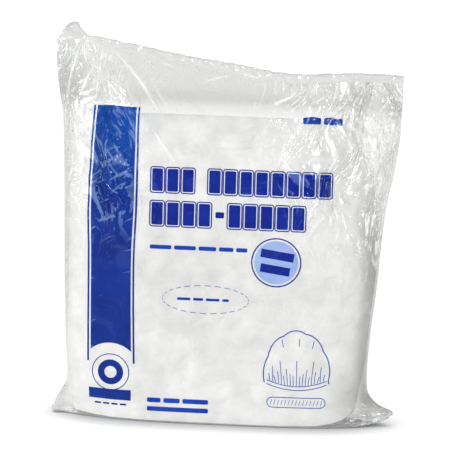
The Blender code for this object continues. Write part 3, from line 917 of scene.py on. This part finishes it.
def print_sign(web, ink):
    """A plain sign of a bouffant cap seen from the front, with a folded cap under it."""
    sign = Print(web)
    half = SIGN_WIDTH / 2
    turn = np.linspace(math.radians(-10), math.radians(190), 140)
    puff = 0.97 + 0.045 * np.abs(np.sin(4.5 * turn + 0.4)) ** 0.7
    brim = SIGN_Z - 3
    sign.line(SIGN_X + half * puff * np.cos(turn), brim + SIGN_RISE * puff * np.sin(turn), LINE)
    across = np.linspace(-1, 1, 50)
    for drop in (0.0, 3.2):
        sign.line(SIGN_X + (half - 2.2) * across, brim - 4 - drop - 5 * (1 - across**2), 0.7)
    up = np.linspace(0, 1, 14)
    for number in range(-9, 10):
        foot = number / 9.8
        length = 12 + 6 * math.cos(2.4 * number) + 3 * math.cos(1.3 * number)
        x = SIGN_X + (half - 3) * (foot + 0.16 * foot * (1 - foot**2) * up**1.5)
        x += 0.5 * math.sin(3.0 * number) * up
        sign.line(x, brim - 4 - 5 * (1 - foot**2) + 0.6 + length * up * (1 - 0.45 * foot**4), 0.6)
    for place, lean in ((-0.42, -0.5), (0.06, 0.1), (0.46, 0.5)):
        x = SIGN_X + half * (place + 0.10 * lean * up)
        sign.line(x, brim + SIGN_RISE * (0.66 + 0.18 * up) * math.sqrt(1 - place**2 / 2), 0.6)
    low = SIGN_Z - 30
    sign.outline(SIGN_X - half + 3, SIGN_X + half - 3, low, low + 8.5, 4.2, 0.7)
    for number in range(-7, 8):
        x = SIGN_X + number * 2.9
        sign.line([x - 0.6, x + 0.6], [low + 2.0, low + 6.5], 0.45)
    sign.finish("print_sign", ink)


class Nodes:
    """Shader nodes built up call by call: each call gives an output, which the next one can take."""

    def __init__(self, tree, output):
        tree.nodes.clear()
        self.tree = tree
        self.output = tree.nodes.new("ShaderNodeOutput" + output)

    def add(self, kind, links=None, **settings):
        """The outputs of a node with its settings, and its inputs: sockets to link or plain values."""
        node = self.tree.nodes.new("ShaderNode" + kind)
        for key, value in settings.items():
            setattr(node, key, value)
        for key, value in (links or {}).items():
            if isinstance(value, bpy.types.NodeSocket):
                self.tree.links.new(value, node.inputs[key])
            else:
                node.inputs[key].default_value = value
        return node.outputs

    def math(self, operation, *values, clamp=False):
        return self.add("Math", dict(enumerate(values)), operation=operation, use_clamp=clamp)[0]

    def noise(self, place, scale, detail, **more):
        return self.add("TexNoise", {"Vector": place, "Scale": scale, "Detail": detail, **more})["Fac"]

    def rising(self, value, low, high):
        """From 0 at low to 1 at high."""
        return self.add("MapRange", {"Value": value, "From Min": low, "From Max": high})["Result"]

    def attribute(self, name, output="Fac"):
        return self.add("Attribute", attribute_name=name)[output]

    def ramp(self, share, *stops):
        """A colour that runs through stops, each a share and a colour."""
        color = self.add("ValToRGB", {"Fac": share})["Color"]
        elements = color.node.color_ramp.elements
        for element, (place, value) in zip((elements[0], elements[1]), (stops[0], stops[-1])):
            element.position = place
            element.color = (*value, 1)
        for place, value in stops[1:-1]:
            elements.new(place).color = (*value, 1)
        return color

    def mix_color(self, share, one, other):
        return self.add("Mix", {"Factor": share, "A": one, "B": other}, data_type="RGBA")["Result"]

    def bump(self, height, strength, distance, **more):
        links = {"Height": height, "Strength": strength, "Distance": distance, **more}
        return self.add("Bump", links)["Normal"]

    def mix_shader(self, share, one, other):
        return self.add("MixShader", {0: share, 1: one, 2: other})[0]

    def finish(self, surface):
        self.tree.links.new(surface, self.output.inputs["Surface"])


def new_material(name):
    material = bpy.data.materials.new(name)
    material.use_nodes = True
    return material, Nodes(material.node_tree, "Material")


# Noises on the film and on the caps. Creases: scale, stretch and detail. Shards: scale, stretch and threshold
LONG_CREASES, SHORT_CREASES = (170.0, 9.0, 2.0), (240.0, 2.2, 2.5)
LONG_SHARDS, SHORT_SHARDS = (230.0, 6.0, 0.57), (420.0, 3.0, 0.60)
WIDE_CREASES, CLOSE_CREASES = (34.0, 0.6, 1.0), (85.0, 1.6, 2.0)
SHARD_SOFTNESS = 0.05  # of a shard's edge, as a step of its noise
SHARD_PATCHES = (0.32, 0.48)  # of the wider noise, between which shards come in
CREASE_HEIGHT = 0.0065  # of a full swing of the noise that makes the fine crinkles
GLINT_WHITENESS = 0.95  # painted highlight: how white the film is along its sharpest, glinting creases
FACING_GLOSS, EDGE_GLOSS = 0.075, 0.85  # what a film's two sides mirror square on, and what edge on adds


def creases(nodes, place, scale, stretch, detail):
    """Sharp valleys where a noise crosses its middle, longer along the film's streaks by a stretch."""
    longer = nodes.add("Mapping", {"Vector": place, "Scale": (1.0, 1.0, 1.0 / stretch)})[0]
    off = nodes.math("SUBTRACT", nodes.noise(longer, scale, detail, Roughness=0.45), 0.5)
    return nodes.math("ABSOLUTE", off)


def shards(nodes, place, scale, stretch, low, turn=0.0):
    """Thin streaks of light where a noise peaks, long along z, or along x and turned up from it."""
    links = {"Vector": place, "Scale": (1, 1, stretch)}
    if turn:
        links = {"Vector": place, "Rotation": (0, -math.radians(turn), 0), "Scale": (stretch, 1, 1)}
    longer = nodes.add("Mapping", links, vector_type="TEXTURE")[0]
    return nodes.rising(nodes.noise(longer, scale, 1.5, Roughness=0.5), low, low + SHARD_SOFTNESS)


def film_crinkles(nodes, strong, calm):
    """Fine crinkles as a normal, stronger where the film is crinkled, and the glinting ones as a mask."""
    comb, crinkle = nodes.attribute("comb", "Vector"), nodes.attribute("crinkle")
    streaks, facets = creases(nodes, comb, *LONG_CREASES), creases(nodes, comb, *SHORT_CREASES)
    height = nodes.math("MULTIPLY_ADD", facets, 0.6, streaks)
    amount = nodes.math("MULTIPLY_ADD", crinkle, strong, calm, clamp=True)
    lines = nodes.math("MAXIMUM", shards(nodes, comb, *LONG_SHARDS), shards(nodes, comb, *SHORT_SHARDS))
    patches = nodes.rising(nodes.noise(comb, 70.0, 1.0), *SHARD_PATCHES)
    shown = nodes.math("MULTIPLY", nodes.math("MULTIPLY", lines, patches), crinkle, clamp=True)
    return nodes.bump(height, amount, CREASE_HEIGHT), shown


def film_material(name, clear_color, dense_and_shaded_color, haze, roughness, strong):
    """Clear film: light goes straight through, less where it lies double and where shade is painted in, and
    glints off its crinkles, with painted highlights as white streaks along the sharpest.
    """
    material, nodes = new_material(name)
    normal, lines = film_crinkles(nodes, strong, 0.025)
    denser_and_shaded_color = [value**2 / first for value, first in zip(dense_and_shaded_color, clear_color)]
    half_plies_and_shade = nodes.math("MULTIPLY", nodes.attribute("plies_and_shade"), 0.5)
    color = nodes.ramp(half_plies_and_shade, (0, clear_color), (0.5, dense_and_shaded_color), (1, denser_and_shaded_color))
    clear = nodes.add("BsdfTransparent", {"Color": color})[0]
    # white haze, and the painted highlights along the creases
    white_haze_and_glints = nodes.add("BsdfDiffuse", {"Color": (0.92, 0.92, 0.91, 1), "Normal": normal})[0]
    milk_and_glints = nodes.math("MULTIPLY_ADD", lines, GLINT_WHITENESS, nodes.attribute("milk_and_highlight"))
    body = nodes.mix_shader(nodes.math("ADD", milk_and_glints, haze, clamp=True), clear, white_haze_and_glints)
    gloss = nodes.add("BsdfAnisotropic", {"Color": (1, 1, 1, 1), "Roughness": roughness, "Normal": normal})[0]
    steep = nodes.math("POWER", nodes.add("LayerWeight", {"Blend": 0.5, "Normal": normal})["Facing"], 5.0)
    shine = nodes.math("MULTIPLY_ADD", steep, EDGE_GLOSS, FACING_GLOSS, clamp=True)
    nodes.finish(nodes.mix_shader(shine, body, gloss))
    return material


NONWOVEN_FOLD = 0.006  # of a full swing of the noise that makes the soft creases
NONWOVEN_GRAIN = 0.0004  # the same for the fibres and bond points


def nonwoven_material():
    """Spunbond nonwoven: matt white, faintly clouded, with its fibres and bond points pressed into it."""
    material, nodes = new_material("nonwoven")
    place = nodes.add("TexCoord")["Object"]
    color = nodes.ramp(nodes.noise(place, 55.0, 4.0), (0.3, (0.70, 0.70, 0.69)), (0.7, (0.84, 0.84, 0.83)))
    fibres = nodes.noise(place, 1800.0, 2.0, Distortion=2.0)
    links = {"Vector": place, "Scale": 620.0, "Randomness": 0.25}
    bonds = nodes.add("TexVoronoi", links, feature="F1")["Distance"]
    fine = nodes.bump(nodes.math("MULTIPLY_ADD", bonds, 0.7, fibres), 0.12, NONWOVEN_GRAIN)
    wide, close = creases(nodes, place, *WIDE_CREASES), creases(nodes, place, *CLOSE_CREASES)
    normal = nodes.bump(nodes.math("MULTIPLY_ADD", close, 0.25, wide), 0.8, NONWOVEN_FOLD, Normal=fine)
    links = {"Base Color": color, "Normal": normal, "Roughness": 0.92, "Specular IOR Level": 0.2}
    nodes.finish(nodes.add("BsdfPrincipled", {**links, "Sheen Weight": 0.25})[0])
    return material


INK_LIGHTENS = (0.180, 0.235)  # the heights between which the band's colour changes
SLANT_GLINTS = (  # painted glints on the band: their turn in degrees, scale, stretch, threshold and the heights where they start and stop
    (28.0, 300.0, 9.0, 0.6, (0.146, 0.16, 0.215, 0.235)),
    (-58.0, 280.0, 8.0, 0.58, (0.19, 0.215, 0.262, 0.27)),
    (16.0, 200.0, 14.0, 0.66, (0.05, 0.07, 0.14, 0.16)),
)
INK_GLINT = 0.42  # painted highlight: how far the ink is lightened to the glint colour along the film's creases
# the colour of the painted glints on the ink
GLINT_INK = (0.24, 0.38, 0.68, 1)
INK_SHADE = (0.80, 0.84, 0.95, 1)  # of the light that it lets through to the caps


def slant_glints(nodes, place):
    """Slanting painted glints across the band, each kind between its own heights."""
    rise = nodes.add("SeparateXYZ", {"Vector": place})["Z"]
    whole = 0.0
    for turn, scale, stretch, low, (start, full, fading, stop) in SLANT_GLINTS:
        shown = nodes.math("MULTIPLY", nodes.rising(rise, start, full), nodes.rising(rise, stop, fading))
        glints = nodes.math("MULTIPLY", shown, shards(nodes, place, scale, stretch, low, turn))
        whole = nodes.math("MAXIMUM", whole, glints)
    return whole


def ink_material(name, dark, light, high=None):
    """Glossy ink on film, uneven and lightened by painted glints along the creases, with another colour high
    on the band.
    """
    material, nodes = new_material(name)
    place = nodes.add("TexCoord")["Object"]
    normal, lines = film_crinkles(nodes, 0.9, 0.10)
    color = nodes.ramp(nodes.noise(place, 38.0, 5.0), (0.35, dark), (0.75, light))
    if high:
        rise = nodes.add("SeparateXYZ", {"Vector": place})["Z"]
        color = nodes.mix_color(nodes.rising(rise, *INK_LIGHTENS), color, (*high, 1))
        lines = nodes.math("MAXIMUM", lines, slant_glints(nodes, place))
    # painted highlight: the ink lightened along its glints
    color = nodes.mix_color(nodes.math("MULTIPLY", lines, INK_GLINT), color, GLINT_INK)
    links = {"Base Color": color, "Normal": normal, "Roughness": 0.10, "Specular IOR Level": 0.14}
    ink = nodes.add("BsdfPrincipled", links)[0]
    rays = nodes.add("LightPath")
    onward = nodes.math("MAXIMUM", rays["Is Shadow Ray"], rays["Is Diffuse Ray"])
    clear = nodes.add("BsdfTransparent", {"Color": INK_SHADE})[0]
    nodes.finish(nodes.mix_shader(onward, ink, clear))
    return material


# Camera and light
AZIMUTH, ELEVATION, ROLL = math.radians(5.0), math.radians(12.0), math.radians(1.4)
CAMERA_TARGET = Vector((-0.0008, 0.0, 0.1606))
CAMERA_DISTANCE = 4.0
CAMERA_LENS = 395.0
SENSOR_WIDTH = 36.0


def make_camera():
    """A long lens at the photograph's angle, rolled a little."""
    level = math.cos(ELEVATION)
    back = Vector((math.sin(AZIMUTH) * level, -math.cos(AZIMUTH) * level, math.sin(ELEVATION)))
    data = bpy.data.cameras.new("camera")
    data.lens, data.sensor_width = CAMERA_LENS, SENSOR_WIDTH
    camera = place_in_scene("camera", data)
    turn = back.to_track_quat("Z", "Y").to_matrix().to_4x4() @ Matrix.Rotation(ROLL, 4, "Z")
    camera.matrix_world = Matrix.Translation(CAMERA_TARGET + back * CAMERA_DISTANCE) @ turn
    bpy.context.scene.camera = camera


FLOOR_HALF_SIZE = 8.0
FLOOR_DROP = 0.0002  # below the bag
SHADOW_REACH = 0.028
SHADOW_DEPTH = 1.25
SHADOW_COLOR = (0.03, 0.035, 0.06, 1)
FLOOR_GLOW = (0.85, 0.78)  # as it is seen, and as it lights the bag
WHITE = (1, 1, 1, 1)


def make_floor():
    """A plain white floor that glows like a light table, dark only close to what stands on it."""
    material, nodes = new_material("floor")
    near = nodes.add("AmbientOcclusion", {"Distance": SHADOW_REACH}, samples=8)["AO"]
    seen = nodes.add("LightPath")["Is Camera Ray"]
    unseen = nodes.math("SUBTRACT", 1.0, seen)
    bright = nodes.math("MAXIMUM", nodes.math("POWER", near, SHADOW_DEPTH), unseen)
    strength = nodes.math("MULTIPLY_ADD", seen, FLOOR_GLOW[0] - FLOOR_GLOW[1], FLOOR_GLOW[1])
    shade = nodes.mix_color(bright, SHADOW_COLOR, WHITE)
    glow = nodes.add("Emission", {"Color": shade, "Strength": strength})[0]
    matt = nodes.add("BsdfDiffuse", {"Color": (0.20, 0.20, 0.20, 1)})[0]
    nodes.finish(nodes.add("AddShader", {0: matt, 1: glow})[0])
    corners = [(x * FLOOR_HALF_SIZE, y * FLOOR_HALF_SIZE, 0) for x, y in ((-1, -1), (1, -1), (1, 1), (-1, 1))]
    floor = make_mesh("floor", corners, (0, 1, 2, 3), material)
    floor.location.z = -FLOOR_DROP


# Softboxes: name, place, width, height and watts
SOFTBOXES = (
    ("key", (-1.8, -1.85, 1.45), 0.75, 0.65, 29),
    ("left", (-2.4, -0.65, 0.6), 0.25, 1.4, 11),
    ("right", (2.1, -1.2, 0.6), 0.22, 1.4, 11),
    ("low", (-1.45, -2.5, 0.8), 0.4, 0.4, 8),
    ("back", (-0.6, 2.0, 0.8), 0.9, 0.5, 12),
)
LIGHT_AIM = Vector((0, 0, 0.15))
ROOM_LIGHT = 0.74  # on matt surfaces
ROOM_GLOSS = (0.35, -0.12)  # what glossy surfaces mirror: in the middle, and how it changes towards +X


def make_lights():
    for name, place, width, height, watts in SOFTBOXES:
        data = bpy.data.lights.new(name, "AREA")
        data.shape = "RECTANGLE"
        data.size, data.size_y = width, height
        data.energy = watts
        light = place_in_scene(name, data)
        light.location = place
        light.rotation_euler = (LIGHT_AIM - Vector(place)).to_track_quat("-Z", "Y").to_euler()
    world = bpy.data.worlds.new("studio")
    world.use_nodes = True
    nodes = Nodes(world.node_tree, "World")
    rays = nodes.add("LightPath")
    way = nodes.add("SeparateXYZ", {"Vector": nodes.add("TexCoord")["Generated"]})["X"]
    mirrored = nodes.math("MULTIPLY_ADD", way, ROOM_GLOSS[1], ROOM_GLOSS[0])
    strengths = (ROOM_LIGHT, mirrored, 1.0)
    light, gloss, white = (nodes.add("Background", {"Color": WHITE, "Strength": one})[0] for one in strengths)
    lit = nodes.mix_shader(rays["Is Glossy Ray"], light, gloss)
    nodes.finish(nodes.mix_shader(rays["Is Camera Ray"], lit, white))
    bpy.context.scene.world = world
    bpy.context.scene.view_settings.view_transform = "Standard"


def build():
    film = film_material("film", (0.95, 0.95, 0.945), (0.74, 0.745, 0.735), 0.04, 0.07, 0.9)
    weld = film_material("weld", (0.90, 0.90, 0.895), (0.50, 0.505, 0.495), 0.07, 0.10, 0.9)
    caps = nonwoven_material()
    ink = ink_material("ink", (0.001, 0.010, 0.19), (0.002, 0.020, 0.27))
    band_ink = ink_material("ink_band", (0.002, 0.018, 0.18), (0.004, 0.032, 0.26), (0.002, 0.050, 0.29))
    fine_ink = ink_material("ink_fine", (0.002, 0.030, 0.28), (0.006, 0.050, 0.40))
    tint = ink_material("ink_tint", (0.24, 0.34, 0.62), (0.34, 0.44, 0.70))
    front = Web(-1, FRONT_FOLDS, CRUMPLES_FRONT, seed=11)
    back = Web(1, BACK_FOLDS, CRUMPLES_BACK, seed=31)
    soft_folds = rough_field(0.024, seed=51)
    for number in range(1, BUNDLES + 1):
        make_bundle(number, caps, soft_folds)
    top_seal = make_top_seal(weld)
    make_web("film_front", front, "front_film", -1, film)
    make_web("film_back", back, "back_film", 1, film)
    make_bottom(front, back, weld)
    print_band(front, band_ink)
    print_title(front, ink)
    print_small(front, fine_ink)
    print_badge(front, ink, tint)
    print_sign(front, fine_ink)
    make_floor()
    make_lights()
    make_camera()


build()
